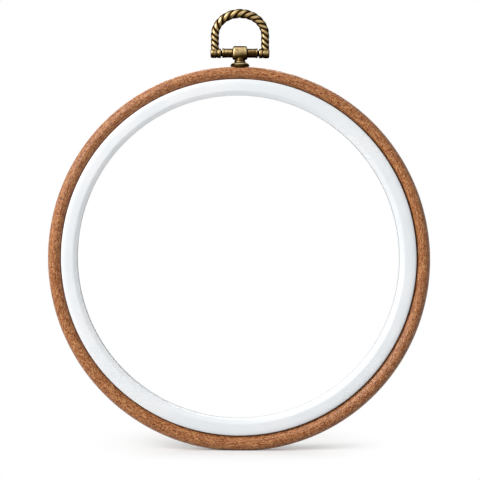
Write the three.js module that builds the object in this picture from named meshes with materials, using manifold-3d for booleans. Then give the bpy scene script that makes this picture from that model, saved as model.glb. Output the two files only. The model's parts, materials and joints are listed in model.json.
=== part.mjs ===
// A screwless embroidery hoop with a hanger, in millimetres.
//
// A stiff white plastic ring carries the cloth. A flexible woodgrain ring is stretched over it from the
// front and stops against a flange at the back of the white ring. The brass hanger is riveted through the
// top of the flexible ring: a ferrule beds in the rim, the hub above it is fast on the rivet, which turns
// in the ferrule and the rim, a pin runs through the hub's two sleeves, and a roped bail swings on the
// ends of the pin.
//
// +X is to the right, +Y to the back and +Z up. The hoop stands upright on z = 0.

import * as THREE from "three";
import { mergeVertices } from "three/addons/utils/BufferGeometryUtils.js";
import Module from "manifold-3d";

const wasm = await Module();
wasm.setup();

// Fits
const CLOTH_GAP = 0.3; // room for the cloth between the rings
const SEAT_GAP = 0.1; // between pieces that are clamped together
const RUNNING_GAP = 0.15; // between pieces that turn on each other
const EDGE_BREAK = 0.15; // chamfer on the pin, the rivet's tip and the washer
const CUT_PAST = 1; // by which a cutter runs past the face that it breaks

// Both rings
const HOOP_SIZE = 127; // outside diameter of the inner ring, the size the hoop is sold by
const RING_FACETS = 90; // an even number, so that a facet lies at the top and at the bottom
const BRASS_FACETS = 32; // round the hub and the ferrule
const SMALL_FACETS = 24; // round the pin, the rivet, the washer and the bosses

// Outer ring, the flexible one
const OUTER_THICKNESS = 4.85; // across the rim, half way up
const RIM_DROP = 0.42; // of the rim's outside below the bore's axis: the rim is thickest at its foot
const OUTER_WIDTH = 8.6; // front to back
const OUTER_EDGE_DROP = 2.6; // how far the outer edges round off across the rim
const OUTER_EDGE_RUN = 2.0; // and from front to back
const BORE_EDGE_DROP = 1.9;
const BORE_EDGE_RUN = 1.6;

// Inner ring, moulded as a channel that is open at the back
const FACE_WIDTH = 5.9; // of the front face, across the ring
const FRONT_PROUD = 0.2; // of the front face past the outer ring
const FACE_INNER_REACH = 2.5; // of the face's soft inner edge, across the ring
const FACE_INNER_FALL = 1.1; // and from front to back
const FACE_OUTER_REACH = 2.2; // of its outer edge, across the ring
const FACE_OUTER_FALL = 0.45;
const FRONT_WALL = 1.8;
const SIDE_WALL = 1.7; // at the root of the channel
const WALL_DRAFT = 0.25; // by which each side wall thins to the back
const FLANGE_REACH = 1.9; // of the stop flange, past the ring's outside
const FLANGE_THICKNESS = 1.2;
const MOULDED_CHAMFER = 0.35;

// Pin and hub
const PIVOT_RISE = 4.8; // pin axis above the top of the rim
const PIN_DIAMETER = 2.2;
const SLEEVE_WALL = 0.52;
const SLEEVE_CHAMFER = 0.25;
const CROSSBAR_LENGTH = 12.7; // over both sleeves
const BARREL_LENGTH = 5.3;
const BARREL_STEP = 0.8; // of the hub's barrel above and below the sleeves
const BARREL_FRONT_STEP = 0.4; // and in front of them and behind
const BARREL_EDGE_DROP = 0.95; // how far its ends round off towards the sleeves
const BARREL_EDGE_RUN = 0.6; // and along them
const NECK_WALL = 0.75;
const NECK_FOOT = 0.15; // by which the neck widens at its foot
const NECK_FOOT_HEIGHT = 0.4;
const SOCKET_ROOF = 0.3; // metal left between the rivet's socket and the pin

// Rivet, ferrule and washer
const RIVET_DIAMETER = 2.0;
const RIVET_HEAD_REACH = 1.0; // of the head past the shank
const RIVET_HEAD_HEIGHT = 0.7;
const WASHER_REACH = 0.7; // of the washer past the rivet's head
const WASHER_THICKNESS = 0.5;
const FERRULE_FLARE = 1.55; // of the ferrule's foot past the neck
const FERRULE_HEIGHT = 1.7;
const FERRULE_FOOT = 0.45; // height of its upright edge
const FERRULE_SINK = 0.45; // depth to which it beds in the rim
const POCKET_SIDE = 0.3; // room round the washer and the ferrule
const POCKET_COVER = 0.7; // depth of the rivet's head inside the bore

// Bail
const END_GAP = 0.43; // between a sleeve and a boss of the bail
const BOSS_WALL = 0.47;
const BOSS_LENGTH = 3.75;
const BOSS_END_WALL = 1.0;
const BOSS_EDGE = 0.65; // radius of the boss's outer end
const BEAD_LENGTH = 1.4; // of the bead turned on its inner end
const BEAD_GROOVE = 0.35;
const BEAD_EDGE = 0.5;
const ROPE_DIAMETER = 2.92;
const ROPE_SWELL = 0.26; // by which the rope is thicker at the top of the arch
const LEG_INSET = 0.1; // of a leg from the boss's outer end
const LEG_HEIGHT = 6.5; // pin axis to the foot of the arch
const ARCH_HEIGHT = 7.7;
const STRANDS = 3;
const LEG_PITCH = 2.0; // strand to strand along a leg
const ARCH_PITCH = 2.9; // and at the top of the arch
const TOP_TURN = 0.19; // turns from outwards to a groove, at the top of the arch
const GROOVE_DEPTH = 0.36;
const ROPE_STEP = 0.47; // between the rope's sections

// Worked out from the sizes above
const innerRadius = HOOP_SIZE / 2;
const boreRadius = innerRadius + CLOTH_GAP;
const outerRadius = boreRadius + OUTER_THICKNESS;
const flatShare = Math.cos(Math.PI / RING_FACETS); // of a facet's middle against its corners
const rimTopZ = 2 * outerRadius * flatShare; // the lowest facet lies on z = 0
const ringCentreZ = rimTopZ / 2 + RIM_DROP; // of the bore and of the inner ring
const ringDepth = FRONT_PROUD + OUTER_WIDTH + CLOTH_GAP + FLANGE_THICKNESS;
const frontY = -ringDepth / 2;
const outerRingY = frontY + FRONT_PROUD + OUTER_WIDTH / 2;

const pinRadius = PIN_DIAMETER / 2;
const pinBoreRadius = pinRadius + SEAT_GAP;
const sleeveRadius = pinBoreRadius + SLEEVE_WALL;
const barrelRadius = sleeveRadius + BARREL_STEP;
const crossbarEnd = CROSSBAR_LENGTH / 2;

const shankRadius = RIVET_DIAMETER / 2;
const socketRadius = shankRadius + SEAT_GAP;
const shankBoreRadius = shankRadius + RUNNING_GAP;
const headRadius = shankRadius + RIVET_HEAD_REACH;
const washerRadius = headRadius + WASHER_REACH;
const neckRadius = socketRadius + NECK_WALL;
const ferruleRadius = neckRadius + FERRULE_FLARE;

// Heights in the hanger, from the face in the rim that the ferrule stands on
const pivotZ = PIVOT_RISE + FERRULE_SINK;
const ferruleTop = SEAT_GAP + FERRULE_HEIGHT;
const neckBottom = ferruleTop + RUNNING_GAP;
const socketTop = pivotZ - pinBoreRadius - SOCKET_ROOF;
const boreZ = -(OUTER_THICKNESS * flatShare - RIM_DROP - FERRULE_SINK);
const headBottom = boreZ + POCKET_COVER;
const headTop = headBottom + RIVET_HEAD_HEIGHT;
const washerBottom = headTop + RUNNING_GAP;
const washerTop = washerBottom + WASHER_THICKNESS;
const pocketTop = washerTop + SEAT_GAP;

const bossRadius = pinRadius + RUNNING_GAP + BOSS_WALL;
const bossInner = crossbarEnd + END_GAP;
const bossOuter = bossInner + BOSS_LENGTH;
const ropeRadius = ROPE_DIAMETER / 2;
const legX = bossOuter - LEG_INSET - ropeRadius;

// Points on a quarter or other stretch of an ellipse, with both ends.
function arc(centreX, centreY, radiusX, radiusY, fromDegrees, toDegrees, steps) {
  return Array.from({ length: steps + 1 }, (_, i) => {
    const angle = THREE.MathUtils.degToRad(fromDegrees + ((toDegrees - fromDegrees) * i) / steps);
    return new THREE.Vector2(centreX + radiusX * Math.cos(angle), centreY + radiusY * Math.sin(angle));
  });
}

const point = (radius, along) => new THREE.Vector2(radius, along);

// Turns a profile of (radius, along) round the Y axis, with a facet and not a corner at the top.
function turned(profile, facets) {
  return new THREE.LatheGeometry(profile, facets, Math.PI / facets);
}

const aboutX = (geometry) => geometry.rotateZ(-Math.PI / 2);
const aboutZ = (geometry) => geometry.rotateX(Math.PI / 2);

// The geometry as a closed solid with its faces pointing out.
function solid(geometry) {
  const bare = geometry.clone();
  bare.deleteAttribute("normal");
  bare.deleteAttribute("uv");
  const merged = mergeVertices(bare, 1e-4);
  const mesh = { numProp: 3, vertProperties: merged.attributes.position.array };
  const faces = new Uint32Array(merged.index.array);
  const made = new wasm.Manifold(new wasm.Mesh({ ...mesh, triVerts: faces }));
  if (made.volume() > 0) return made;
  return new wasm.Manifold(new wasm.Mesh({ ...mesh, triVerts: faces.reverse() }));
}

function geometryOf(made) {
  const { vertProperties, triVerts } = made.getMesh();
  const geometry = new THREE.BufferGeometry();
  geometry.setAttribute("position", new THREE.BufferAttribute(vertProperties, 3));
  geometry.setIndex(new THREE.BufferAttribute(triVerts, 1));
  geometry.computeVertexNormals();
  return geometry;
}

// A plain cylinder about Z from one height to another, for cutting bores.
function drillZ(radius, bottom, top, facets = BRASS_FACETS) {
  const geometry = new THREE.CylinderGeometry(radius, radius, top - bottom, facets);
  return solid(aboutZ(geometry).translate(0, 0, (bottom + top) / 2));
}

function drillX(radius, from, to) {
  const geometry = new THREE.CylinderGeometry(radius, radius, to - from, SMALL_FACETS);
  return solid(aboutX(geometry).translate((from + to) / 2, 0, 0));
}

function outerRing() {
  const half = OUTER_WIDTH / 2;
  const rimX = outerRadius - OUTER_EDGE_DROP;
  const rimY = half - OUTER_EDGE_RUN;
  const boreX = boreRadius + BORE_EDGE_DROP;
  const boreY = half - BORE_EDGE_RUN;
  const profile = [
    ...arc(rimX, -rimY, OUTER_EDGE_DROP, OUTER_EDGE_RUN, 0, -90, 5),
    ...arc(boreX, -boreY, BORE_EDGE_DROP, BORE_EDGE_RUN, -90, -180, 3),
    ...arc(boreX, boreY, BORE_EDGE_DROP, BORE_EDGE_RUN, 180, 90, 3),
    ...arc(rimX, rimY, OUTER_EDGE_DROP, OUTER_EDGE_RUN, 90, 0, 5),
  ];
  const rim = turned([...profile, profile[0]], RING_FACETS);
  const places = rim.attributes.position;
  for (let i = 0; i < places.count; i++) {
    const outwards = (Math.hypot(places.getX(i), places.getZ(i)) - boreRadius) / OUTER_THICKNESS;
    places.setZ(i, places.getZ(i) - RIM_DROP * outwards);
  }
  const ring = solid(rim);
  const seatZ = rimTopZ - FERRULE_SINK - ringCentreZ; // the ferrule's seat, from the bore's axis
  const above = seatZ + FERRULE_SINK + CUT_PAST;
  const below = seatZ + boreZ - CUT_PAST;
  const seat = drillZ(ferruleRadius + POCKET_SIDE, seatZ, above);
  const hole = drillZ(shankBoreRadius, below, above);
  const pocket = drillZ(washerRadius + POCKET_SIDE, below, seatZ + pocketTop);
  return geometryOf(ring.subtract(seat).subtract(hole).subtract(pocket));
}

// The section starts in the bore at the front and runs round the face, the flange and the channel.
function innerRing() {
  const faceInner = innerRadius - FACE_WIDTH;
  const innerEdgeX = faceInner + FACE_INNER_REACH;
  const outerEdgeX = innerRadius - FACE_OUTER_REACH;
  const flangeRadius = innerRadius + FLANGE_REACH;
  const flangeFront = ringDepth - FLANGE_THICKNESS;
  const channelOuter = innerRadius - SIDE_WALL;
  const channelInner = faceInner + SIDE_WALL;
  const chamfer = MOULDED_CHAMFER;
  const profile = [
    ...arc(innerEdgeX, FACE_INNER_FALL, FACE_INNER_REACH, FACE_INNER_FALL, 180, 270, 6),
    ...arc(outerEdgeX, FACE_OUTER_FALL, FACE_OUTER_REACH, FACE_OUTER_FALL, 270, 360, 3),
    point(innerRadius, flangeFront),
    point(flangeRadius - chamfer, flangeFront),
    point(flangeRadius, flangeFront + chamfer),
    point(flangeRadius, ringDepth - chamfer),
    point(flangeRadius - chamfer, ringDepth),
    point(channelOuter + WALL_DRAFT, ringDepth),
    point(channelOuter, FRONT_WALL + chamfer),
    point(channelOuter - chamfer, FRONT_WALL),
    point(channelInner + chamfer, FRONT_WALL),
    point(channelInner, FRONT_WALL + chamfer),
    point(channelInner, ringDepth),
    point(faceInner + WALL_DRAFT + chamfer, ringDepth),
    point(faceInner + WALL_DRAFT, ringDepth - chamfer),
  ];
  return geometryOf(solid(turned([...profile, profile[0]], RING_FACETS)));
}

function ferrule() {
  const crownRadius = ferruleRadius - neckRadius;
  const profile = [
    point(shankBoreRadius, SEAT_GAP),
    point(ferruleRadius, SEAT_GAP),
    ...arc(neckRadius, SEAT_GAP + FERRULE_FOOT, crownRadius, FERRULE_HEIGHT - FERRULE_FOOT, 0, 90, 6),
    point(shankBoreRadius, ferruleTop),
  ];
  return geometryOf(solid(aboutZ(turned([...profile, profile[0]], BRASS_FACETS))));
}

function rivetWasher() {
  const profile = [
    point(shankBoreRadius, washerBottom),
    point(washerRadius - EDGE_BREAK, washerBottom),
    point(washerRadius, washerBottom + EDGE_BREAK),
    point(washerRadius, washerTop - EDGE_BREAK),
    point(washerRadius - EDGE_BREAK, washerTop),
    point(shankBoreRadius, washerTop),
  ];
  return geometryOf(solid(aboutZ(turned([...profile, profile[0]], SMALL_FACETS))));
}

// Set from below: a domed head inside the bore, and a shank that ends in the hub's socket.
function hangerRivet() {
  const shankTop = socketTop - SEAT_GAP;
  const profile = [
    ...arc(0, headTop, headRadius, RIVET_HEAD_HEIGHT, -90, 0, 4),
    point(shankRadius, headTop),
    point(shankRadius, shankTop - EDGE_BREAK),
    point(shankRadius - EDGE_BREAK, shankTop),
    point(0, shankTop),
  ];
  return geometryOf(solid(aboutZ(turned(profile, SMALL_FACETS))));
}

// The barrel, taller than it is deep, with its two sleeves about the pin, on a neck that runs up into it.
function hub() {
  const barrelEnd = BARREL_LENGTH / 2;
  const drop = BARREL_EDGE_DROP;
  const run = BARREL_EDGE_RUN;
  const barrelHalf = [...arc(barrelRadius - drop, barrelEnd - run, drop, run, 0, 90, 3), point(0, barrelEnd)];
  const sleeveHalf = [
    point(sleeveRadius, crossbarEnd - SLEEVE_CHAMFER),
    point(sleeveRadius - SLEEVE_CHAMFER, crossbarEnd),
    point(0, crossbarEnd),
  ];
  const bothHalves = (half) => [...half.map((p) => point(p.x, -p.y)).reverse(), ...half];
  const depthShare = (sleeveRadius + BARREL_FRONT_STEP) / barrelRadius;
  const barrel = aboutX(turned(bothHalves(barrelHalf), BRASS_FACETS)).scale(1, depthShare, 1);
  const sleeves = aboutX(turned(bothHalves(sleeveHalf), BRASS_FACETS));
  const crossbar = solid(barrel).add(solid(sleeves));
  const bottom = neckBottom - pivotZ;
  const neckProfile = [
    point(0, bottom),
    point(neckRadius + NECK_FOOT, bottom),
    point(neckRadius, bottom + NECK_FOOT_HEIGHT),
    point(neckRadius, 0),
    point(0, 0),
  ];
  const neck = solid(aboutZ(turned(neckProfile, BRASS_FACETS)));
  const pinBore = drillX(pinBoreRadius, -crossbarEnd - CUT_PAST, crossbarEnd + CUT_PAST);
  const socket = drillZ(socketRadius, bottom - CUT_PAST, socketTop - pivotZ, SMALL_FACETS);
  return geometryOf(crossbar.add(neck).subtract(pinBore).subtract(socket));
}

function pivotPin() {
  const end = bossOuter - BOSS_END_WALL - RUNNING_GAP;
  const profile = [
    point(0, -end),
    point(pinRadius - EDGE_BREAK, -end),
    point(pinRadius, -end + EDGE_BREAK),
    point(pinRadius, end - EDGE_BREAK),
    point(pinRadius - EDGE_BREAK, end),
    point(0, end),
  ];
  return geometryOf(solid(aboutX(turned(profile, SMALL_FACETS))));
}

// The bail's rope: from the pin's axis up the left leg, over the arch and down the right leg. Its section has
// one rounded lobe for each strand, and turns along the path, so that the grooves between the lobes wind
// left-handed.
function rope() {
  const path = new THREE.Path();
  path.moveTo(-legX, 0);
  path.lineTo(-legX, LEG_HEIGHT);
  path.absellipse(0, LEG_HEIGHT, legX, ARCH_HEIGHT, Math.PI, 0, true);
  path.lineTo(legX, 0);
  const length = path.getLength();
  const steps = Math.round(length / ROPE_STEP);
  const acrossLobe = [-1, -0.6, -0.2, 0.2, 0.6]; // a groove at -1, the crest at 0
  const sides = STRANDS * acrossLobe.length;

  // Strands met from the middle of the path: they lie closer together on the legs than on the arch.
  const met = (share) => {
    const fromMiddle = share - 0.5;
    const eased = fromMiddle / 2 + Math.sin(2 * Math.PI * fromMiddle) / (4 * Math.PI);
    return length * (fromMiddle / LEG_PITCH + (1 / ARCH_PITCH - 1 / LEG_PITCH) * eased);
  };

  const positions = [];
  for (let i = 0; i <= steps; i++) {
    const share = i / steps;
    const centre = path.getPoint(share);
    const along = path.getTangent(share);
    const crest = ropeRadius + (ROPE_SWELL / 2) * Math.sin(Math.PI * share) ** 6;
    const turn = TOP_TURN + met(share) / STRANDS;
    for (let strand = 0; strand < STRANDS; strand++)
      for (const across of acrossLobe) {
        const angle = 2 * Math.PI * (turn + (strand + (across + 1) / 2) / STRANDS);
        const reach = crest - GROOVE_DEPTH * Math.abs(across) ** 3;
        const outwards = reach * Math.cos(angle);
        positions.push(centre.x - outwards * along.y, reach * Math.sin(angle), centre.y + outwards * along.x);
      }
  }

  const faces = [];
  for (let i = 0; i < steps; i++)
    for (let side = 0; side < sides; side++) {
      const here = i * sides + side;
      const beside = i * sides + ((side + 1) % sides);
      faces.push(here, beside, beside + sides, here, beside + sides, here + sides);
    }
  for (const end of [0, steps]) {
    const centre = path.getPoint(end / steps);
    const middle = positions.push(centre.x, 0, centre.y) / 3 - 1;
    for (let side = 0; side < sides; side++) {
      const edge = [end * sides + side, end * sides + ((side + 1) % sides)];
      faces.push(middle, ...(end === 0 ? edge.reverse() : edge));
    }
  }
  const geometry = new THREE.BufferGeometry();
  geometry.setAttribute("position", new THREE.Float32BufferAttribute(positions, 3));
  geometry.setIndex(faces);
  return geometry;
}

// One of the bail's bosses, with its bead towards the hub. It runs along +X.
function boss() {
  const groove = bossInner + BEAD_LENGTH;
  const profile = [
    point(0, bossInner),
    ...arc(bossRadius - BEAD_EDGE, bossInner + BEAD_EDGE, BEAD_EDGE, BEAD_EDGE, -90, 0, 3),
    point(bossRadius, groove - BEAD_GROOVE),
    point(bossRadius - BEAD_GROOVE, groove),
    point(bossRadius, groove + BEAD_GROOVE),
    ...arc(bossRadius - BOSS_EDGE, bossOuter - BOSS_EDGE, BOSS_EDGE, BOSS_EDGE, 0, 90, 3),
    point(0, bossOuter),
  ];
  return solid(aboutX(turned(profile, SMALL_FACETS)));
}

function bail() {
  const bore = drillX(pinRadius + RUNNING_GAP, 0, bossOuter - BOSS_END_WALL);
  const right = boss();
  const left = right.rotate([0, 0, 180]);
  const bores = bore.add(bore.rotate([0, 0, 180]));
  return geometryOf(solid(rope()).add(right).add(left).subtract(bores));
}

const woodgrain = new THREE.MeshStandardMaterial({ color: 0xb07c58, roughness: 0.6, metalness: 0 });
const whitePlastic = new THREE.MeshStandardMaterial({ color: 0xe9edf0, roughness: 0.25, metalness: 0 });
const agedBrass = new THREE.MeshStandardMaterial({ color: 0x8c7746, roughness: 0.4, metalness: 1 });

function piece(name, geometry, material) {
  const mesh = new THREE.Mesh(geometry, material);
  mesh.name = name;
  return mesh;
}

const rings = new THREE.Group();
rings.position.z = ringCentreZ;
const outer = piece("outer_ring", outerRing(), woodgrain);
outer.position.y = outerRingY;
const inner = piece("inner_ring", innerRing(), whitePlastic);
inner.position.y = frontY;
rings.add(outer, inner);

const crossbar = new THREE.Group();
crossbar.position.z = pivotZ;
crossbar.add(piece("hub", hub(), agedBrass));
crossbar.add(piece("pivot_pin", pivotPin(), agedBrass));
crossbar.add(piece("bail", bail(), agedBrass));

const hanger = new THREE.Group();
hanger.position.set(0, outerRingY, rimTopZ - FERRULE_SINK);
hanger.add(piece("ferrule", ferrule(), agedBrass));
hanger.add(piece("hanger_rivet", hangerRivet(), agedBrass));
hanger.add(piece("rivet_washer", rivetWasher(), agedBrass));
hanger.add(crossbar);

const hoop = new THREE.Group();
hoop.add(rings, hanger);

export default hoop;
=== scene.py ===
"""The looks of a screwless embroidery hoop with a roped brass hanger.

Every visible piece is a fine mesh made here in the place of its plain solid, in millimetres and in the
hoop's own frame, and is turned into metres as its object is made.
"""

import json
import math

import bmesh
import bpy
import numpy as np
from mathutils import Matrix, Vector, kdtree, noise

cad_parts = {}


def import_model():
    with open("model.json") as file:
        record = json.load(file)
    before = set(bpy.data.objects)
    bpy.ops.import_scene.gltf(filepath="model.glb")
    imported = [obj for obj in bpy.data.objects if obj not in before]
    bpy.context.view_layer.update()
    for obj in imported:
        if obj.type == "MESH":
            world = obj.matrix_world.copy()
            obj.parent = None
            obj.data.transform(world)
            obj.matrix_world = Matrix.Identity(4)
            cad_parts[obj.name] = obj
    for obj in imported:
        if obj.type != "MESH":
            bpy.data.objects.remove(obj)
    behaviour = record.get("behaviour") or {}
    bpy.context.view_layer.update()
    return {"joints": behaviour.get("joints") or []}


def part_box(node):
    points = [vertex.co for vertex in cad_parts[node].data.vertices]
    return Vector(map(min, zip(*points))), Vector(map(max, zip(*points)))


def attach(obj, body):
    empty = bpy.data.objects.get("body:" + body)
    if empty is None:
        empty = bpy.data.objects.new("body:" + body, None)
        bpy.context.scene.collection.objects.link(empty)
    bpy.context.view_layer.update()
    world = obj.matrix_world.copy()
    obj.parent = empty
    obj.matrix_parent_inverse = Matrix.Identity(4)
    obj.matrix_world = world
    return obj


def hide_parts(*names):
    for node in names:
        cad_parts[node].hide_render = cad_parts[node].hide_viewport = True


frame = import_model()

MM = 0.001


def corners(node):
    """A node's lowest and highest corner in millimetres, without the stray digits of single precision."""
    return [[round(value / MM, 4) for value in corner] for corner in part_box(node)]


# Places read from the frame, the rings' middle to the micrometre. All lengths are in millimetres where nothing
# else is said.
pin_joint = next(joint for joint in frame["joints"] if joint["name"] == "bail_swing")
HANGER_Y, PIVOT_Z = [round(value / MM, 4) for value in pin_joint["pos_m"][1:]]
(_, FRONT_Y, ring_bottom), (_, BACK_Y, ring_top) = corners("inner_ring")
RING_Z = round((ring_bottom + ring_top) / 2, 3)
SLEEVE_END = corners("hub")[1][0]
BOSS_OUTER = corners("bail")[1][0]

# The top of the rim, as it would be if the ferrule's seat weren't cut into it
PIVOT_ABOVE_RIM = 4.8
RIM_TOP_Z = PIVOT_Z - PIVOT_ABOVE_RIM

# How the rings are sprung out of round: their swell along X, along the diagonal and in three lobes
OVAL = (-0.10, -0.13, -0.07)
RIM_OVAL = (-0.14, -0.075, 0.04)
RING_SHIFT = -0.05

# Outer ring: its outside lies lower than its bore and a little further right, so its foot is thickest
BORE_RADIUS = 63.63
RIM_RADIUS = 68.6
RIM_DROP = 0.5
RIM_SHIFT = 0.14
OUTER_HALF = 4.3
ROUND_RUN = 2.6
SEAT_RADIUS = 3.7
SEAT_DEPTH = 0.45
RIVET_HOLE = 1.15
POCKET_RADIUS = 3.0
POCKET_PLAY = 0.1
CUTTER_BOTTOM, CUTTER_TOP = 130, 140

# Inner ring: the bevel starts BEVEL_REACH from the inner edge and has its full slope from BEVEL_FULL on
INNER_RADIUS = 63.53
FACE_INNER = 57.72
FACE_CORNER = 0.2
BEVEL_REACH = 2.15
BEVEL_FULL = 1.1
BEVEL_SLOPE = 0.37
EDGE_REACH = 2.1
EDGE_FALL = 0.46
WALL = 1.7
WALL_DRAFT = 0.25
WEB_DEPTH = 1.8
FLANGE_REACH = 1.9
FLANGE_DEPTH = 1.2
CHAMFER = 0.35

# Ferrule: its dome is outlined outwards from the flat top, by the radius and how far it has fallen there
FERRULE_RADIUS = 3.4
FERRULE_HEIGHT = 1.6
FERRULE_SUNK = 0.35
FERRULE_EDGE = 0.1
FERRULE_DOME = (
    (1.9, 0.0), (2.1, 0.03), (2.35, 0.10), (2.6, 0.21), (2.85, 0.35),
    (3.05, 0.51), (3.2, 0.69), (3.32, 0.89), (FERRULE_RADIUS, 1.15),
)

# Hub: the barrel is round with a leaning to square, flatter in its depth and wider below than above
BARREL_RADIUS = 2.52
BARREL_END = 2.62
BARREL_ROUNDING = (0.8, 0.6)
BARREL_SQUARENESS = 2.5
BARREL_TRIM = 0.985
BARREL_DEPTH_SHARE = 0.84
BARREL_TAPER = 0.05
BARREL_LIFT = 0.16
SLEEVE_RADIUS = 1.72
SLEEVE_LIFT = 0.08
SLEEVE_CORNER = 0.15
SLEEVE_BAND = 0.55
SLEEVE_WAIST_START = 0.72
SLEEVE_WAIST = 0.09
NECK_RADIUS = 1.84
NECK_GAP = 0.02
NECK_ROLL = 0.14
NECK_ROLL_OUT = 0.1
NECK_FLARE = 0.55

# Pin, rivet and washer: the hub is bored BORE_REACH both ways, and the bail from BORE_START outwards
PIN_RADIUS = 1.1
PIN_CORNER = 0.15
PIN_INSET = 1.15
PIN_PLAY_IN_HUB = 0.1
PIN_PLAY_IN_BAIL = 0.15
BORE_REACH = 8
BORE_START = 5
RIVET_RADIUS = 1.0
RIVET_CORNER = 0.15
RIVET_HEAD_RADIUS = 2.0
RIVET_HEAD_HEIGHT = 0.7
WASHER_RADIUS = 2.7
WASHER_EDGE = 0.12

# Bail: pitches are the length of one strand along the bail
BOSS_RADIUS = 1.72
BOSS_INNER = 6.78
BOSS_CORNER = 0.3
BOSS_CAP = 0.65
BOSS_END_WALL = 1
BEAD_LENGTH = 1.4
BEAD_ROUNDING = (0.45, 0.40)
BEAD_GROOVE = 0.42
ROPE_RADIUS = 1.47
ROPE_SWELL = 0.19
LEG_X = 8.97
LEG_HEIGHT = 6.5
ARCH_HEIGHT = 7.74
STRANDS = 3
LEG_PITCH = 1.88
ARCH_PITCH = 2.9
TOP_TURN = 0.19
RIGHT_GAIN = 0.5
LEFT_LOSS = 0.2
GROOVE_DEPTH = 0.38
GROOVE_SHARPNESS = 3.2

# Tarnish of the brass and painted shade, in millimetres of hollow: hollows and crests count no further than
# HOLLOW_SPAN
HOLLOW_SPAN = (-0.02, 0.08)
# Painted shade: how much darker what faces down, or to the right, is made
DOWNWARD_PAINTED_SHADE = 0.055
RIGHTWARD_PAINTED_SHADE = 0.03
GROOVE_TARNISH = 0.082
CREST_RUB = 0.043
PIN_PAINTED_SHADE = 0.12

# Floor and light, in metres
FLOOR_HALF = 3
SHADE_MIDDLE = (0, 0.024, 0)
SHADE_REACH = (0.058, 0.079)
ROOM_STRENGTH = 0.06
LAMP_AIM = Vector((0, 0, 0.075))
KEY_WAY = Vector((-0.61, -0.611, 0.505))
KEY_DISTANCE = 2.4

# Camera, in millimetres: the view is as wide as VIEW_WIDTH where the hoop stands
CAMERA_DISTANCE = 900
CAMERA_AZIMUTH = math.radians(-1.0)
CAMERA_ELEVATION = math.radians(1.5)
CAMERA_ROLL = math.radians(0.28)
SENSOR_WIDTH = 36
VIEW_WIDTH = 172.1
AIM_X = 0.35
AIM_ABOVE_MIDDLE = 6.67

# Turn what is made round the Y axis onto the X or the Z axis
ABOUT_X = Matrix.Rotation(-math.pi / 2, 4, "Z")
ABOUT_Z = Matrix.Rotation(math.pi / 2, 4, "X")


# Outlines and meshes


def arc(centre, radii, start, end, steps):
    """Points on an ellipse from one angle to another, in degrees."""
    angles = np.radians(np.linspace(start, end, steps + 1))
    return [(centre[0] + radii[0] * math.cos(a), centre[1] + radii[1] * math.sin(a)) for a in angles]


def mirrored(half):
    """A whole outline from its lower half, with the upper half its mirror image."""
    return [*half, *[(radius, -along) for radius, along in half[::-1]]]


def closed(profile):
    """An outline that ends where it starts."""
    return [*profile, profile[0]]


def lathe(profile, segments):
    """Turns an outline of (radius, along) round the Y axis. It is closed, or starts and ends on the axis."""
    is_closed = profile[0] == profile[-1]
    points = np.array(profile[:-1] if is_closed else profile)
    turn = np.linspace(0, 2 * math.pi, segments, endpoint=False)
    x = np.outer(np.sin(turn), points[:, 0])
    z = np.outer(np.cos(turn), points[:, 0])
    y = np.broadcast_to(points[:, 1], x.shape)
    verts = np.stack([x, y, z], axis=-1).reshape(-1, 3)
    count = len(points)
    faces = []
    for i in range(segments):
        here, there = i * count, ((i + 1) % segments) * count
        for j in range(count if is_closed else count - 1):
            k = (j + 1) % count
            faces.append((here + j, here + k, there + k, there + j))
    return verts, faces


def mesh_of(name, verts, faces):
    """A closed mesh with its faces pointing out."""
    mesh = bpy.data.meshes.new(name)
    mesh.from_pydata([tuple(v) for v in verts], [], faces)
    made = bmesh.new()
    made.from_mesh(mesh)
    bmesh.ops.remove_doubles(made, verts=made.verts, dist=1e-5)
    bmesh.ops.dissolve_degenerate(made, edges=made.edges, dist=1e-6)
    bmesh.ops.recalc_face_normals(made, faces=made.faces)
    made.to_mesh(mesh)
    made.free()
    return mesh


def turned(name, profile, segments, about=None):
    """A mesh turned from an outline, round the Y axis unless another is given."""
    mesh = mesh_of(name, *lathe(profile, segments))
    if about is not None:
        mesh.transform(about)
    return mesh


def moved(mesh, x=0.0, y=0.0, z=0.0):
    """The mesh, moved."""
    mesh.transform(Matrix.Translation((x, y, z)))
    return mesh


def with_modifier(mesh, kind, **settings):
    """The mesh with one modifier applied."""
    carrier = bpy.data.objects.new("carrier", mesh)
    bpy.context.scene.collection.objects.link(carrier)
    modifier = carrier.modifiers.new("step", kind)
    for key, value in settings.items():
        setattr(modifier, key, value)
    seen = carrier.evaluated_get(bpy.context.evaluated_depsgraph_get())
    made = bpy.data.meshes.new_from_object(seen)
    bpy.data.objects.remove(carrier)
    return made


def cut(mesh, *cutters):
    """The mesh with the cutters taken out of it."""
    for cutter in cutters:
        tool = bpy.data.objects.new("cutter", cutter)
        bpy.context.scene.collection.objects.link(tool)
        mesh = with_modifier(mesh, "BOOLEAN", operation="DIFFERENCE", solver="EXACT", object=tool)
        bpy.data.objects.remove(tool)
    return mesh


def cylinder(radius, start, end, about):
    """A plain cylinder to cut with."""
    return turned("cutter", [(0, start), (radius, start), (radius, end), (0, end)], 96, about)


def arrays(mesh):
    """Vertex places, normals and edges of a mesh."""
    count = len(mesh.vertices)
    places = np.empty(count * 3)
    mesh.vertices.foreach_get("co", places)
    normals = np.empty(count * 3)
    mesh.vertices.foreach_get("normal", normals)
    edges = np.empty(len(mesh.edges) * 2, dtype=np.int64)
    mesh.edges.foreach_get("vertices", edges)
    return places.reshape(-1, 3), normals.reshape(-1, 3), edges.reshape(-1, 2)


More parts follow.
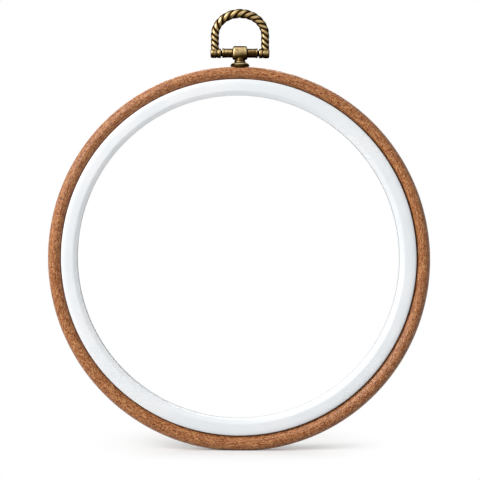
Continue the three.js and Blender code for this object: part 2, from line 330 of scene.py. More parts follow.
def relaxed(places, edges, rounds, share=0.5):
    """Places after each has moved towards the middle of its neighbours, some rounds over."""
    first, second = edges.T
    count = len(places)
    number = (np.bincount(first, minlength=count) + np.bincount(second, minlength=count))[:, None]
    for _ in range(rounds):
        total = np.empty_like(places)
        for k in range(3):
            total[:, k] = np.bincount(first, places[second, k], count)
            total[:, k] += np.bincount(second, places[first, k], count)
        places = (1 - share) * places + share * total / np.maximum(number, 1)
    return places


def cast(meshes, voxel, rounds):
    """One skin round several closed meshes, with the soft inner corners of a casting."""
    joined = bmesh.new()
    for mesh in meshes:
        joined.from_mesh(mesh)
    rough = bpy.data.meshes.new("rough")
    joined.to_mesh(rough)
    joined.free()
    made = with_modifier(rough, "REMESH", mode="VOXEL", voxel_size=voxel, use_smooth_shade=True)
    places, _, edges = arrays(made)
    made.vertices.foreach_set("co", relaxed(places, edges, rounds).ravel())
    made.update()
    return made


def uneven(mesh, size, depth, seed):
    """Moves the surface in and out a little, over patches of the given size, as tooling by hand leaves it."""
    places, normals, _ = arrays(mesh)
    offset = Vector((seed * 7.3, seed * 3.1, seed * 5.7))
    swell = np.array([noise.noise(Vector(p) / size + offset) for p in places])
    mesh.vertices.foreach_set("co", (places + normals * (swell * depth)[:, None]).ravel())
    mesh.update()


def mark_hollows_and_shade(mesh, rounds, tarnish=0.0):
    """Keeps, for each vertex, how far it lies inside the relaxed surface, in millimetres.

    What faces down or to the right is darkened more, as painted shade. The tarnish or painted shade that is
    given comes on top of that, for the whole mesh or for each vertex.
    """
    places, normals, edges = arrays(mesh)
    depth = np.clip(((relaxed(places, edges, rounds) - places) * normals).sum(axis=1), *HOLLOW_SPAN)
    downward = np.clip(0.1 - normals[:, 2], 0, 1)
    rightward = np.clip(normals[:, 0], 0, 1) ** 1.5
    # Painted shade on what faces down or to the right, added to the depth of hollow
    depth += DOWNWARD_PAINTED_SHADE * downward + RIGHTWARD_PAINTED_SHADE * rightward + tarnish
    mark = mesh.attributes.new("hollow_and_shade", "FLOAT", "POINT")
    mark.data.foreach_set("value", depth.astype(np.float32))


def piece(name, mesh, nodes, body, material, sharp=40):
    """Turns a mesh in millimetres into a piece that rides on a body in the place of some nodes."""
    mesh.transform(Matrix.Scale(MM, 4))
    mesh.name = name
    for polygon in mesh.polygons:
        polygon.use_smooth = True
    mesh.set_sharp_from_angle(angle=math.radians(sharp))
    mesh.materials.clear()
    mesh.materials.append(material)
    made = bpy.data.objects.new(name, mesh)
    bpy.context.scene.collection.objects.link(made)
    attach(made, body)
    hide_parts(*nodes)


# Materials: their noise has its scale in patches per metre


def linear(red, green, blue):
    """A colour given in screen values from 0 to 255, as the linear values that shaders use."""
    values = []
    for value in (red, green, blue):
        share = value / 255
        values.append(share / 12.92 if share <= 0.04045 else ((share + 0.055) / 1.055) ** 2.4)
    return (*values, 1.0)


class Nodes:
    """The nodes of a material or a world, made one after another. Most calls give an output to build on."""

    def __init__(self, owner, kind):
        owner.use_nodes = True
        self.owner = owner
        self.tree = owner.node_tree
        self.tree.nodes.clear()
        self.output = self.tree.nodes.new("ShaderNodeOutput" + kind)

    def add(self, kind, out=0, inputs=None, **settings):
        """One output of a new node, or all of them where out is None."""
        made = self.tree.nodes.new("ShaderNode" + kind)
        for key, value in settings.items():
            setattr(made, key, value)
        for key, value in (inputs or {}).items():
            self.put(value, made.inputs[key])
        return made.outputs if out is None else made.outputs[out]

    def put(self, value, socket):
        """Links a socket to what feeds it, or sets its own value."""
        if isinstance(value, bpy.types.NodeSocket):
            self.tree.links.new(value, socket)
        else:
            socket.default_value = value

    def math(self, operation, a, b=0.0, c=0.0):
        return self.add("Math", inputs={0: a, 1: b, 2: c}, operation=operation)

    def vector(self, operation, a, b=(0, 0, 0), out="Vector"):
        return self.add("VectorMath", out=out, inputs={0: a, 1: b}, operation=operation)

    def parts(self, vector):
        """The X, Y and Z of a vector."""
        return self.add("SeparateXYZ", out=None, inputs={0: vector})

    def place(self):
        """Where a point lies in its object, in metres."""
        return self.add("TexCoord", out="Object")

    def spread(self, value, low, high, to_low=0.0, to_high=1.0, smooth=True):
        """A value's way from low to high, as the way between two other values."""
        kind = "SMOOTHSTEP" if smooth else "LINEAR"
        inputs = {0: value, 1: low, 2: high, 3: to_low, 4: to_high}
        return self.add("MapRange", inputs=inputs, interpolation_type=kind)

    def mix(self, share, a, b):
        """A colour between two others."""
        return self.add("Mix", out=2, inputs={0: share, 6: a, 7: b}, data_type="RGBA")

    def tint(self, colour, share, most, tone):
        """A colour that turns towards a tone where the share is 1, by the most that it may."""
        return self.mix(self.math("MULTIPLY", share, most), colour, tone)

    def noise(self, vector, scale, detail, roughness=0.5, w=None):
        inputs = {"Vector": vector, "Scale": scale, "Detail": detail, "Roughness": roughness}
        if w is None:
            return self.add("TexNoise", inputs=inputs)
        inputs["W"] = w
        return self.add("TexNoise", inputs=inputs, noise_dimensions="4D")

    def bump(self, height, distance, strength, normal=None):
        inputs = {"Height": height, "Distance": distance, "Strength": strength}
        if normal is not None:
            inputs["Normal"] = normal
        return self.add("Bump", inputs=inputs)

    def seen(self):
        """1 for the rays that show a thing itself, and 0 for those that only gather its light."""
        path = self.add("LightPath", out=None)
        seen = self.math("MAXIMUM", path["Is Camera Ray"], path["Is Glossy Ray"])
        return self.math("MAXIMUM", seen, path["Is Transmission Ray"])

    def close(self, shader):
        """Ends with a shader, and gives the material or world."""
        self.tree.links.new(shader, self.output.inputs["Surface"])
        return self.owner

    def principled(self, **inputs):
        """Ends with the principled shader, its inputs named with _ for a space."""
        names = {key.replace("_", " "): value for key, value in inputs.items()}
        return self.close(self.add("BsdfPrincipled", inputs=names))


def shader(name):
    """The nodes of a new material."""
    return Nodes(bpy.data.materials.new(name), "Material")


def woodgrain():
    """Flexible plastic, printed and embossed to look like wood, with its grain running round the ring."""
    s = shader("woodgrain_vinyl")
    place = s.place()
    local = s.vector("SUBTRACT", place, (0, 0, RING_Z * MM))
    flat = s.vector("MULTIPLY", local, (1, 0, 1))
    along_x, _, along_z = s.parts(s.vector("NORMALIZE", flat))
    radius = s.math("MULTIPLY", s.vector("LENGTH", flat, out="Value"), 1 / MM)
    depth = s.math("MULTIPLY", s.parts(local)[1], 1 / MM)

    def grain(lengthways, across, detail, roughness=0.5, shift=0.0):
        """Noise with its patches stretched along the ring: patches per millimetre both ways."""
        x = s.math("MULTIPLY", along_x, RIM_RADIUS * lengthways)
        z = s.math("MULTIPLY", along_z, RIM_RADIUS * lengthways)
        r = s.math("MULTIPLY_ADD", radius, across, shift)
        vector = s.add("CombineXYZ", inputs={0: x, 1: r, 2: z})
        w = s.math("MULTIPLY", depth, across)
        return s.noise(vector, 1.0, detail, roughness, w=w)

    broad = grain(0.14, 0.40, 2.0)
    streak = grain(0.30, 2.0, 1.0, shift=11.0)
    speck = grain(0.75, 3.0, 1.5, 0.55, shift=53.0)
    pits = grain(2.2, 5.2, 1.0, 0.6, shift=23.0)
    dashes = grain(0.8, 5.4, 1.0, shift=71.0)
    fine = grain(3.4, 6.0, 2.0, shift=37.0)

    # The print, from its broad patches to its pits
    tone = s.math("MULTIPLY_ADD", broad, 0.05, s.math("MULTIPLY", streak, 0.22))
    tone = s.math("MULTIPLY_ADD", speck, 0.45, tone)
    tone = s.math("MULTIPLY_ADD", pits, 1.30, tone)
    tone = s.spread(tone, 0.83, 1.20, smooth=False)
    dark = linear(100, 46, 12)
    middle = linear(164, 96, 48)
    light = linear(208, 152, 102)
    colour = s.mix(s.spread(tone, 0.0, 0.5), dark, middle)
    colour = s.mix(s.spread(tone, 0.45, 1.0), colour, light)

    # Short dashes along the grain: dark where they are sunk, light where they are worn
    colour = s.tint(colour, s.spread(dashes, 0.43, 0.33), 0.60, linear(78, 38, 18))
    colour = s.tint(colour, s.spread(dashes, 0.58, 0.68), 0.50, linear(216, 164, 118))

    # Painted shade at the lip of the bore, and a painted contact shadow where the foot meets the floor
    bore_lip_painted_shade = s.spread(radius, BORE_RADIUS + 0.45, BORE_RADIUS + 0.12)
    colour = s.tint(colour, bore_lip_painted_shade, 0.7, linear(80, 42, 24))
    foot = s.spread(s.parts(place)[2], 0.9 * MM, 0.1 * MM)
    colour = s.tint(colour, foot, 0.8, linear(56, 30, 17))

    height = s.math("MULTIPLY_ADD", dashes, 0.6, s.math("MULTIPLY", speck, 0.4))
    height = s.math("MULTIPLY_ADD", fine, 0.14, height)
    normal = s.bump(height, 0.30 * MM, 0.8)
    rough = s.spread(pits, 0.3, 0.7, 0.34, 0.24, smooth=False)
    return s.principled(Base_Color=colour, Roughness=rough, Normal=normal, Specular_IOR_Level=0.3)


def white_plastic():
    """Stiff moulded plastic, satin, with the faint ripple of its mould.

    Behind the bevel the wall is painted greyer and duller, as painted shade. The back of the flange has the
    colour of the face again.
    """
    s = shader("white_plastic")
    place = s.place()
    ripple = s.noise(place, 160.0, 2.0, 0.4)
    fine = s.noise(place, 5200.0, 2.0, 0.6)
    cloud = s.noise(place, 60.0, 2.0)
    white = linear(232, 236, 239)
    colour = s.mix(s.spread(cloud, 0.35, 0.65), white, linear(238, 240, 242))
    y = s.parts(place)[1]
    # Painted shade: the wall behind the bevel is greyed, made rougher and less glossy
    wall_painted_shade = s.spread(y, -4.0 * MM, 1.0 * MM)
    colour = s.mix(wall_painted_shade, colour, linear(199, 204, 208))
    colour = s.mix(s.spread(y, 4.6 * MM, 5.0 * MM), colour, white)
    normal = s.bump(fine, 0.004 * MM, 0.5)
    normal = s.bump(ripple, 0.25 * MM, 0.35, normal)
    rough = s.math("MULTIPLY_ADD", wall_painted_shade, 0.25, s.spread(fine, 0.3, 0.7, 0.30, 0.38, smooth=False))
    return s.principled(
        Base_Color=colour,
        Roughness=rough,
        Normal=normal,
        Specular_IOR_Level=s.math("MULTIPLY_ADD", wall_painted_shade, -0.45, 0.5),
        Subsurface_Weight=0.35,
        Subsurface_Radius=(1.0, 1.0, 1.0),
        Subsurface_Scale=1.2 * MM,
    )


def aged_brass():
    """Cast brass, blackened in its hollows and rubbed bright where hands reach it, with painted shade and
    painted highlights laid in as well.

    The stain is counted in millimetres of hollow, with the painted shade that the meshes carry. Blotches and
    specks are added to it, and so is a painted shade at the rim, where the surface turns away from the eye.
    """
    s = shader("aged_brass")
    place = s.place()
    hollow_and_shade = s.add("Attribute", out="Fac", attribute_name="hollow_and_shade")
    blotch = s.noise(place, 900.0, 4.0, 0.6)
    speck = s.noise(place, 3600.0, 3.0, 0.6)
    grit = s.noise(place, 9000.0, 2.0)
    stain_and_shade = s.math("MULTIPLY_ADD", s.math("SUBTRACT", blotch, 0.5), 0.05, hollow_and_shade)
    stain_and_shade = s.math("MULTIPLY_ADD", s.math("SUBTRACT", speck, 0.5), 0.03, stain_and_shade)
    # Painted shade at the rim, where the surface turns away from the eye
    grazing_painted_shade = s.add("LayerWeight", out="Facing", inputs={"Blend": 0.5})
    stain_and_shade = s.math("ADD", stain_and_shade, s.spread(grazing_painted_shade, 0.22, 0.66, 0.0, 0.085))

    # From bright to black: each tone takes over between two depths of stain. The brightest shows where painted
    # highlights take the stain lowest, as on the ferrule's flat top.
    colour = linear(228, 208, 168)
    for low, high, tone in (
        (-0.120, -0.100, (184, 161, 118)),
        (-0.060, -0.022, (118, 96, 58)),
        (-0.028, 0.004, (60, 43, 20)),
        (0.000, 0.032, (42, 27, 11)),
        (0.06, 0.10, (20, 11, 5)),
    ):
        colour = s.mix(s.spread(stain_and_shade, low, high), colour, linear(*tone))

    rough = s.spread(stain_and_shade, -0.05, 0.04, 0.38, 0.62)
    height = s.math("MULTIPLY_ADD", grit, 0.35, s.math("MULTIPLY", speck, 0.8))
    normal = s.bump(height, 0.03 * MM, 0.4)
    normal = s.bump(blotch, 0.06 * MM, 0.4, normal)
    return s.principled(
        Base_Color=colour,
        Metallic=1.0,
        Roughness=rough,
        Specular_Tint=linear(58, 43, 22),
        Normal=normal,
    )


# Rings


def sprung(places, oval, share=1.0):
    """Places of a ring sprung a little out of round, by a share of the three swells of an oval."""
    angle = np.arctan2(places[:, 2], places[:, 0])
    along_x, diagonal, lobes = oval
    swell = along_x * np.cos(2 * angle) + diagonal * np.sin(2 * angle) + lobes * np.sin(3 * angle)
    places[:, 0] += share * swell * np.cos(angle)
    places[:, 2] += share * swell * np.sin(angle)
    return places


def outer_ring():
    """A round-fronted bead, thickest at its foot, flat where it stands and cut through at the top."""
    middle, half = (BORE_RADIUS + RIM_RADIUS) / 2, (RIM_RADIUS - BORE_RADIUS) / 2
    edge = OUTER_HALF - ROUND_RUN
    profile = [
        *arc((middle, HANGER_Y - edge), (half, ROUND_RUN), 0, -180, 32),
        *arc((middle, HANGER_Y + edge), (half, ROUND_RUN), 180, 0, 32),
    ]
    mesh = turned("outer", closed(profile), 600)
    places, _, _ = arrays(mesh)
    outwards = (np.hypot(places[:, 0], places[:, 2]) - BORE_RADIUS) / (RIM_RADIUS - BORE_RADIUS)
    places[:, 2] -= RIM_DROP * outwards
    places[:, 0] += RIM_SHIFT * outwards
    places = sprung(sprung(places, RIM_OVAL, outwards), OVAL)
    places[:, 2] = np.maximum(places[:, 2], -RING_Z)
    mesh.vertices.foreach_set("co", places.ravel())
    ring = moved(mesh, x=RING_SHIFT, z=RING_Z)

    def drilled(radius, start, end):
        """A cutter that stands under the hanger, from one height to another."""
        return moved(cylinder(radius, start, end, ABOUT_Z), y=HANGER_Y)

    washer_top = corners("rivet_washer")[1][2]
    seat = drilled(SEAT_RADIUS, RIM_TOP_Z - SEAT_DEPTH, CUTTER_TOP)
    hole = drilled(RIVET_HOLE, CUTTER_BOTTOM, CUTTER_TOP)
    pocket = drilled(POCKET_RADIUS, CUTTER_BOTTOM, washer_top + POCKET_PLAY)
    return cut(ring, seat, hole, pocket)


def inner_ring():
    """The channel-shaped ring: a bevel inside, a slight fall to the outer edge and a stop flange behind."""
    # From the flat inwards, the face tips over softly into the bevel.
    inwards = np.linspace(BEVEL_REACH, FACE_CORNER, 30)
    tipped = np.clip((BEVEL_REACH - inwards) / (BEVEL_REACH - BEVEL_FULL), 0, 1)
    slope = BEVEL_SLOPE * tipped ** 2 * (3 - 2 * tipped)
    drop = np.concatenate([[0], np.cumsum((slope[1:] + slope[:-1]) / 2 * -np.diff(inwards))])
    face = [(FACE_INNER + r, FRONT_Y + d) for r, d in zip(inwards, drop)][::-1]
    flange, flange_front = INNER_RADIUS + FLANGE_REACH, BACK_Y - FLANGE_DEPTH
    outer, inner, web = INNER_RADIUS - WALL, FACE_INNER + WALL, FRONT_Y + WEB_DEPTH
    corner, round_edge, cham = (FACE_CORNER, FACE_CORNER), (EDGE_REACH, EDGE_FALL), (CHAMFER, CHAMFER)
    profile = [
        *arc((FACE_INNER + FACE_CORNER, face[0][1] + FACE_CORNER), corner, 180, 250, 4),
        *face,
        *arc((INNER_RADIUS - EDGE_REACH, FRONT_Y + EDGE_FALL), round_edge, 270, 360, 24),
        (INNER_RADIUS, flange_front),
        *arc((flange - CHAMFER, flange_front + CHAMFER), cham, 270, 360, 4),
        *arc((flange - CHAMFER, BACK_Y - CHAMFER), cham, 0, 90, 4),
        (outer + WALL_DRAFT, BACK_Y),
        *arc((outer - CHAMFER, web + CHAMFER), cham, 0, -90, 4),
        *arc((inner + CHAMFER, web + CHAMFER), cham, 270, 180, 4),
        (inner, BACK_Y),
        *arc((FACE_INNER + WALL_DRAFT + CHAMFER, BACK_Y - CHAMFER), cham, 90, 180, 4),
    ]
    mesh = turned("inner", closed(profile), 480)
    places, _, _ = arrays(mesh)
    mesh.vertices.foreach_set("co", sprung(places, OVAL).ravel())
    return moved(mesh, x=RING_SHIFT, z=RING_Z)


# Hanger


def ferrule():
    """The domed foot on the rim, with a hole for the rivet: a painted highlight on its flat top, painted shade
    down its side.
    """
    foot, top = RIM_TOP_Z - FERRULE_SUNK, RIM_TOP_Z + FERRULE_HEIGHT
    base = FERRULE_RADIUS - FERRULE_EDGE
    profile = [
        (RIVET_HOLE, foot),
        (base, foot),
        *arc((base, foot + FERRULE_EDGE), (FERRULE_EDGE, FERRULE_EDGE), -90, 0, 3),
        *[(radius, top - fall) for radius, fall in FERRULE_DOME[::-1]],
        (RIVET_HOLE, top),
    ]
    mesh = moved(turned("ferrule", closed(profile), 160, ABOUT_Z), y=HANGER_Y)
    _, normals, _ = arrays(mesh)
    # Painted highlight where the dome faces up, painted shade where it turns to the side
    mark_hollows_and_shade(mesh, 8, np.interp(normals[:, 2], (0.50, 0.60, 0.70), (0.04, 0.0, -0.22)))
    return mesh


def barrel():
    """The hub's middle, made round its own axis and then pressed towards square."""
    reach, rise = BARREL_ROUNDING
    half = [
        (0, -BARREL_END),
        *arc((BARREL_RADIUS - reach, -BARREL_END + rise), BARREL_ROUNDING, -90, 0, 12),
    ]
    mesh = turned("barrel", mirrored(half), 128, ABOUT_X)
    places, _, _ = arrays(mesh)
    angle = np.arctan2(places[:, 2], places[:, 1])
    power = BARREL_SQUARENESS
    square = (np.abs(np.cos(angle)) ** power + np.abs(np.sin(angle)) ** power) ** (-1 / power)
    places[:, 1:] *= (square * BARREL_TRIM)[:, None]
    places[:, 1] *= BARREL_DEPTH_SHARE
    places[:, 0] *= 1 - BARREL_TAPER * places[:, 2] / BARREL_RADIUS
    places[:, 2] += BARREL_LIFT
    mesh.vertices.foreach_set("co", places.ravel())
    mesh.update()
    return mesh


def sleeves():
    """The two sleeves in one rod through the barrel, with a fuller band at each end."""
    end, waist = SLEEVE_END, SLEEVE_RADIUS - SLEEVE_WAIST
    centre = (SLEEVE_RADIUS - SLEEVE_CORNER, -end + SLEEVE_CORNER)
    half = [
        (0, -end),
        *arc(centre, (SLEEVE_CORNER, SLEEVE_CORNER), -90, 0, 4),
        (SLEEVE_RADIUS, -end + SLEEVE_BAND),
        (waist, -end + SLEEVE_WAIST_START),
    ]
    return moved(turned("sleeves", mirrored(half), 128, ABOUT_X), z=SLEEVE_LIFT)


def neck():
    """The round neck, rolled out where it stands on the ferrule."""
    bottom = FERRULE_HEIGHT + NECK_GAP - PIVOT_ABOVE_RIM
    centre = (NECK_RADIUS + NECK_ROLL_OUT, bottom + NECK_ROLL)
    profile = [
        (0, bottom),
        *arc(centre, (NECK_ROLL, NECK_ROLL), -90, 0, 3),
        (NECK_RADIUS, bottom + NECK_FLARE),
        (NECK_RADIUS, 0),
        (0, 0),
    ]
    return turned("neck", profile, 96, ABOUT_Z)


def hub_painted_shade_and_highlights(places):
    """Painted shade that deepens downwards on the sleeves, and downwards and to the right on the barrel.

    Two painted highlight stripes run down the neck.
    """
    x, y, z = places.T
    on_barrel = np.abs(x) < BARREL_END + 0.1
    on_neck = (np.hypot(x, y) < NECK_RADIUS + 0.25) & (z < -1.6)
    height = z + np.where(on_barrel, 0.45 - 0.28 * x, -0.05 * x)
    # Painted shade on sleeves and barrel, darker lower down; painted highlight stripes on the neck
    sleeve_painted_shade = np.interp(height, (-1.5, -0.9, 0.3, 0.9), (0.045, 0.025, 0.006, -0.04))
    barrel_painted_shade = np.interp(height, (-2.2, -1.2, 0.0, 1.0), (0.04, 0.015, -0.02, -0.045))
    neck_painted_highlights = -0.02 * np.exp(-(((x + 0.6) / 0.4) ** 2)) - 0.015 * np.exp(-(((x - 0.8) / 0.3) ** 2))
    return np.where(on_neck, neck_painted_highlights, np.where(on_barrel, barrel_painted_shade, sleeve_painted_shade))


def hub():
    """Barrel, sleeves and neck, cast as one round the pivot and bored for the pin."""
    skin = cast([barrel(), sleeves(), neck()], voxel=0.06, rounds=5)
    uneven(skin, size=1.1, depth=0.035, seed=1)
    places, _, _ = arrays(skin)
    mark_hollows_and_shade(skin, 60, hub_painted_shade_and_highlights(places))
    bore = cylinder(PIN_RADIUS + PIN_PLAY_IN_HUB, -BORE_REACH, BORE_REACH, ABOUT_X)
    return moved(cut(skin, bore), y=HANGER_Y, z=PIVOT_Z)


def rope_path(steps):
    """Places and directions along the bail, evenly spaced: up a leg, over the arch and down the other leg."""
    leg_steps, arch_steps = 400, 1600
    leg = np.linspace(0, LEG_HEIGHT, leg_steps)
    turn = np.linspace(math.pi, 0, arch_steps)
    left, right = np.full(leg_steps, -LEG_X), np.full(leg_steps - 1, LEG_X)
    x = np.concatenate([left, LEG_X * np.cos(turn)[1:], right])
    z = np.concatenate([leg, LEG_HEIGHT + ARCH_HEIGHT * np.sin(turn)[1:], leg[::-1][1:]])
    gone = np.concatenate([[0], np.cumsum(np.hypot(np.diff(x), np.diff(z)))])
    even = np.linspace(0, gone[-1], steps + 1)
    x, z = np.interp(even, gone, x), np.interp(even, gone, z)
    along = np.stack([np.gradient(x), np.gradient(z)], axis=-1)
    return x, z, along / np.linalg.norm(along, axis=1)[:, None], gone[-1]


def strands_met(share, length):
    """Strands passed along the bail's front, counted from the middle of the arch.

    The right side is wound by half a strand more, and the left side by a fifth of one less.
    """
    from_middle = share - 0.5
    eased = from_middle / 2 + np.sin(2 * math.pi * from_middle) / (4 * math.pi)
    per_length = from_middle / LEG_PITCH + (1 / ARCH_PITCH - 1 / LEG_PITCH) * eased
    met = TOP_TURN * STRANDS + length * per_length
    met = met + RIGHT_GAIN * np.clip((from_middle - 0.02) / 0.28, 0, 1)
    return met + LEFT_LOSS * np.clip((-from_middle - 0.05) / 0.2, 0, 1)


def rope():
    """The strands wound round the bail's path, with the rope a little thicker at the top of the arch."""
    steps, around = 420, 84
    x, z, along, length = rope_path(steps)
    share = np.linspace(0, 1, steps + 1)
    met = strands_met(share, length)
    crest = ROPE_RADIUS + ROPE_SWELL * np.sin(math.pi * share) ** 6
    place = np.arange(around) * STRANDS / around
    across = 2 * (place % 1) - 1
    angle = 2 * math.pi / STRANDS * (met[:, None] + place[None, :])
    reach = crest[:, None] - GROOVE_DEPTH * np.abs(across[None, :]) ** GROOVE_SHARPNESS
    out = reach * np.cos(angle)
    verts = np.stack(
        [x[:, None] - out * along[:, 1:2], reach * np.sin(angle), z[:, None] + out * along[:, 0:1]],
        axis=-1,
    ).reshape(-1, 3)
    faces = []
    for i in range(steps):
        for j in range(around):
            a, b = i * around + j, i * around + (j + 1) % around
            faces.append((a, b, b + around, a + around))
    faces.append(tuple(range(around)))
    faces.append(tuple(range(steps * around, (steps + 1) * around)))
    return mesh_of("rope", verts, faces)


def bail_tarnish_and_shade(places):
    """Tarnish between the strands and none on their crests, and on the bosses painted shade, darker lower
    down.
    """
    steps = 1200
    x, z, along, length = rope_path(steps)
    tree = kdtree.KDTree(steps + 1)
    for i in range(steps + 1):
        tree.insert((x[i], 0, z[i]), i)
    tree.balance()
    near = np.array([tree.find((p[0], 0, p[2]))[1] for p in places])
    out = -(places[:, 0] - x[near]) * along[near, 1] + (places[:, 2] - z[near]) * along[near, 0]
    angle = np.arctan2(places[:, 1], out)
    strand = angle * STRANDS / (2 * math.pi) - strands_met(near / steps, length)
    across = np.abs(2 * (strand % 1) - 1)
    roped = np.interp(places[:, 2], (1.5, 2.1), (0, 1))
    rope_tone = GROOVE_TARNISH * across ** 1.5 - CREST_RUB
    # Painted shade on the bosses: darker lower down, lighter at the top
    boss_painted_shade = np.interp(places[:, 2], (-1.6, -1.0, 0.2, 1.0), (0.025, 0.008, -0.02, -0.028))
    return rope_tone * roped + boss_painted_shade * (1 - roped)


def boss(side):
    """A turned boss at the end of a leg: a bead towards the hub, a groove, and a rounded cap outside."""
    bead = BOSS_INNER + BEAD_LENGTH
    r = BOSS_RADIUS
    bead_centre, cap_centre = r - BEAD_ROUNDING[0], (r - BOSS_CAP, BOSS_OUTER - BOSS_CAP)
    profile = [
        (0, BOSS_INNER),
        *arc((r - BOSS_CORNER, BOSS_INNER + BOSS_CORNER), (BOSS_CORNER, BOSS_CORNER), -90, 0, 8),
        *arc((bead_centre, bead - BEAD_GROOVE), BEAD_ROUNDING, 0, 85, 8),
        *arc((bead_centre, bead + BEAD_GROOVE), BEAD_ROUNDING, -85, 0, 8),
        *arc(cap_centre, (BOSS_CAP, BOSS_CAP), 0, 90, 10),
        (0, BOSS_OUTER),
    ]
    mesh = turned("boss", profile, 120, ABOUT_X)
    if side < 0:
        mesh.transform(Matrix.Rotation(math.pi, 4, "Z"))
    return mesh


def bail():
    """The roped loop with its two bosses, cast as one and bored for the pin."""
    skin = cast([rope(), boss(1), boss(-1)], voxel=0.085, rounds=2)
    uneven(skin, size=0.9, depth=0.03, seed=2)
    places, _, _ = arrays(skin)
    mark_hollows_and_shade(skin, 60, bail_tarnish_and_shade(places))
    bore, end = PIN_RADIUS + PIN_PLAY_IN_BAIL, BOSS_OUTER - BOSS_END_WALL
    right = cylinder(bore, BORE_START, end, ABOUT_X)
    left = cylinder(bore, -end, -BORE_START, ABOUT_X)
    return moved(cut(skin, right, left), y=HANGER_Y, z=PIVOT_Z)


def pivot_pin():
    """The pin, darkened to near black as painted shade, with both ends hidden in the bosses."""
    end = BOSS_OUTER - PIN_INSET
    centre = (PIN_RADIUS - PIN_CORNER, -end + PIN_CORNER)
    half = [(0, -end), *arc(centre, (PIN_CORNER, PIN_CORNER), -90, 0, 4)]
    mesh = moved(turned("pin", mirrored(half), 96, ABOUT_X), y=HANGER_Y, z=PIVOT_Z)
    # Painted shade: the pin is darkened to near black
    mark_hollows_and_shade(mesh, 2, PIN_PAINTED_SHADE)
    return mesh


def hanger_rivet():
    """The rivet through the rim, with a domed head below and its shank up in the hub."""
    (_, _, bottom), (_, _, top) = corners("hanger_rivet")
    head_top = bottom + RIVET_HEAD_HEIGHT
    centre = (RIVET_RADIUS - RIVET_CORNER, top - RIVET_CORNER)
    profile = [
        *arc((0, head_top), (RIVET_HEAD_RADIUS, RIVET_HEAD_HEIGHT), -90, 0, 14),
        (RIVET_RADIUS, head_top),
        *arc(centre, (RIVET_CORNER, RIVET_CORNER), 0, 90, 4),
        (0, top),
    ]
    mesh = moved(turned("rivet", profile, 96, ABOUT_Z), y=HANGER_Y)
    mark_hollows_and_shade(mesh, 2)
    return mesh


def rivet_washer():
    """The washer between the rivet's head and the rim."""
    (_, _, bottom), (_, _, top) = corners("rivet_washer")
    reach, edge = WASHER_RADIUS - WASHER_EDGE, (WASHER_EDGE, WASHER_EDGE)
    profile = [
        (RIVET_HOLE, bottom),
        *arc((reach, bottom + WASHER_EDGE), edge, -90, 0, 4),
        *arc((reach, top - WASHER_EDGE), edge, 0, 90, 4),
        (RIVET_HOLE, top),
    ]
    mesh = moved(turned("washer", closed(profile), 96, ABOUT_Z), y=HANGER_Y)
    mark_hollows_and_shade(mesh, 2)
    return mesh


vinyl = woodgrain()
plastic = white_plastic()
brass = aged_brass()

piece("woodgrain_ring", outer_ring(), ["outer_ring"], "outer_hoop", vinyl)
piece("white_ring", inner_ring(), ["inner_ring"], "inner_hoop", plastic)
piece("rim_ferrule", ferrule(), ["ferrule"], "outer_hoop", brass)
piece("rim_washer", rivet_washer(), ["rivet_washer"], "outer_hoop", brass)
piece("rivet", hanger_rivet(), ["hanger_rivet"], "hanger_hub", brass)
piece("hub_casting", hub(), ["hub"], "hanger_hub", brass)
piece("hub_pin", pivot_pin(), ["pivot_pin"], "hanger_hub", brass)
piece("roped_bail", bail(), ["bail"], "hanger_bail", brass)


# Floor, light and camera


def floor():
    """A pale floor that keeps the hoop's shadow near it, runs out into white and throws little light back."""
    s = shader("pale_floor")
    place = s.place()
    drawn = s.vector("SUBTRACT", place, SHADE_MIDDLE)
    drawn = s.vector("MULTIPLY", drawn, (1 / SHADE_REACH[0], 1 / SHADE_REACH[1], 1.0))
    far = s.vector("LENGTH", drawn, out="Value")
    colour = s.mix(s.noise(place, 400.0, 3.0), linear(237, 236, 235), linear(241, 240, 239))
    seen = s.seen()
    matt = s.add("BsdfDiffuse", inputs={"Color": s.mix(seen, linear(184, 184, 184), colour)})
    white = s.add("Emission", inputs={"Color": (1, 1, 1, 1), "Strength": 1.0})
    share = s.math("MULTIPLY", seen, s.spread(far, 0.3, 1.0, 0.22, 1.0))
    material = s.close(s.add("MixShader", inputs={0: share, 1: matt, 2: white}))
    half = FLOOR_HALF
    outline = [(-half, -half, 0), (half, -half, 0), (half, half, 0), (-half, half, 0)]
    mesh = mesh_of("floor", outline, [(0, 1, 2, 3)])
    mesh.materials.append(material)
    made = bpy.data.objects.new("floor", mesh)
    bpy.context.scene.collection.objects.link(made)


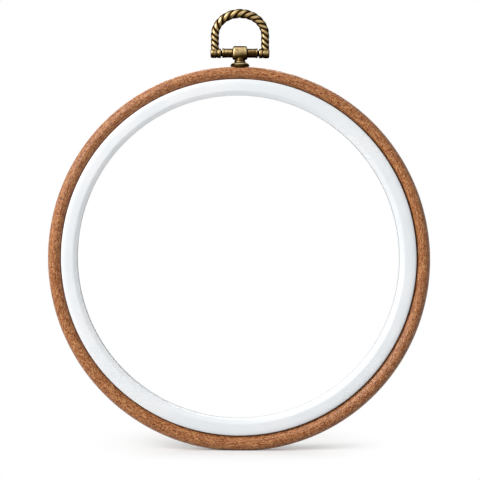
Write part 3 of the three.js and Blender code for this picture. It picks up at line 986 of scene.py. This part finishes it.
def world():
    """A plain studio: a white backdrop that is seen behind the hoop, and an even room that lights it."""
    s = Nodes(bpy.data.worlds.new("studio"), "World")
    room = s.add("Background", inputs={"Color": (1, 1, 1, 1), "Strength": ROOM_STRENGTH})
    white = s.add("Background", inputs={"Color": (1, 1, 1, 1), "Strength": 1.0})
    bpy.context.scene.world = s.close(s.add("MixShader", inputs={0: s.seen(), 1: room, 2: white}))


def lamp(name, place, size, power):
    """A square lamp that looks at the hoop."""
    data = bpy.data.lights.new(name, "AREA")
    data.shape = "SQUARE"
    data.size = size
    data.energy = power
    made = bpy.data.objects.new(name, data)
    bpy.context.scene.collection.objects.link(made)
    made.location = place
    made.rotation_euler = (LAMP_AIM - Vector(place)).to_track_quat("-Z", "Y").to_euler()


def camera():
    """A long lens in front of the hoop, a little above it and to its left."""
    data = bpy.data.cameras.new("camera")
    data.sensor_width = SENSOR_WIDTH
    data.lens = SENSOR_WIDTH * CAMERA_DISTANCE / VIEW_WIDTH
    data.dof.use_dof = False
    data.clip_start, data.clip_end = 0.01, 20
    made = bpy.data.objects.new("camera", data)
    bpy.context.scene.collection.objects.link(made)
    aim = Vector((AIM_X * MM, 0.0, (RIM_TOP_Z / 2 + AIM_ABOVE_MIDDLE) * MM))
    flat = math.cos(CAMERA_ELEVATION)
    sideways, forwards = math.sin(CAMERA_AZIMUTH) * flat, math.cos(CAMERA_AZIMUTH) * flat
    back = Vector((sideways, -forwards, math.sin(CAMERA_ELEVATION)))
    made.location = aim + back * CAMERA_DISTANCE * MM
    level = (-back).to_track_quat("-Z", "Y").to_matrix().to_4x4()
    made.rotation_euler = (level @ Matrix.Rotation(CAMERA_ROLL, 4, "Z")).to_euler()
    bpy.context.scene.camera = made


floor()
world()
lamp("key", LAMP_AIM + KEY_DISTANCE * KEY_WAY, size=1.6, power=74.0)
lamp("overhead", (0.0, -0.1, 1.2), size=1.3, power=3.0)
lamp("back", (0.0, 2.0, 1.35), size=1.4, power=28.0)
camera()
bpy.context.scene.view_settings.view_transform = "Standard"
